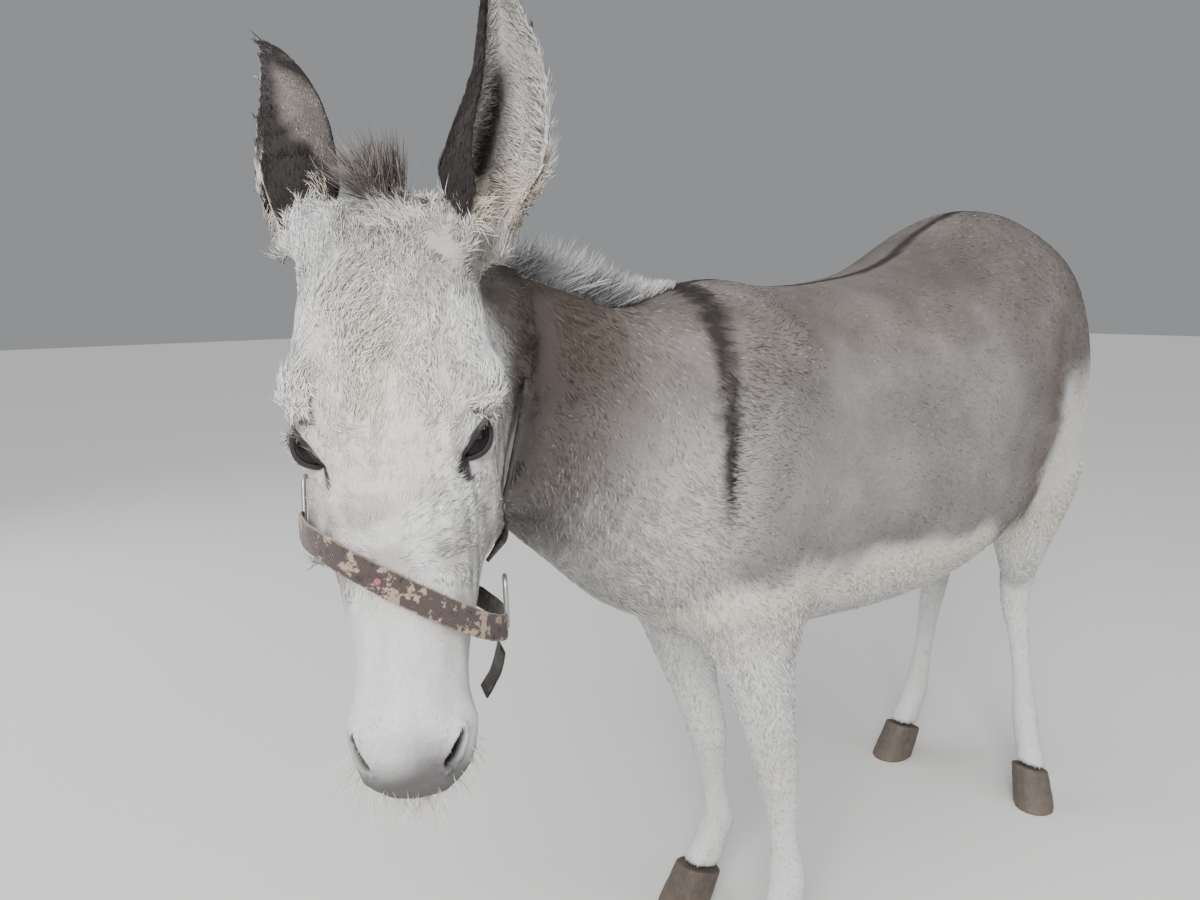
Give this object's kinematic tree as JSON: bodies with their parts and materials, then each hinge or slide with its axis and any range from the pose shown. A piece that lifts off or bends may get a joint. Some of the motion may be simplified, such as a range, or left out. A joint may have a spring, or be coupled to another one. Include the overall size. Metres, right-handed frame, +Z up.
{
  "type": "donkey",
  "caption": "Woolly donkey standing square with its head turned to its left, wearing a webbing headcollar; a still, life-size figure.",
  "frame": {"origin": "centre of the whole model's footprint, at the level of the soles", "axes": "+Z up; -Y the way the trunk faces, towards the chest; +X the donkey's left side"},
  "size_m": [0.5206, 1.7062, 1.3104],
  "materials": {
    "coat_grey": "short dense grey-brown coat",
    "coat_white": "short off-white coat, woolly on the forehead",
    "coat_cream": "long soft cream and black ear hair",
    "hair_pale": "upright pale hair",
    "hair_dark": "wispy dark hair",
    "hoof": "dull dark horn",
    "eye": "wet and glossy",
    "webbing": "woven strap with pale blotches",
    "steel": "dull grey metal"
  },
  "bodies": {
    "root": {"trunk": "coat_grey", "neck": "coat_grey", "head": "coat_white", "ear_left": "coat_cream", "ear_right": "coat_cream", "eye_left": "eye", "eye_right": "eye", "forelock": "hair_dark", "mane": "hair_pale", "tail": "coat_grey", "leg_fore_left": "coat_white", "leg_fore_right": "coat_white", "leg_hind_left": "coat_white", "leg_hind_right": "coat_white", "hoof_fore_left": "hoof", "hoof_fore_right": "hoof", "hoof_hind_left": "hoof", "hoof_hind_right": "hoof", "noseband": "webbing", "strap_jaw": "webbing", "strap_cheek_left": "webbing", "strap_cheek_right": "webbing", "strap_crown": "webbing", "strap_end": "webbing", "ring_left": "steel", "ring_right": "steel"}
  },
  "joints": []
}
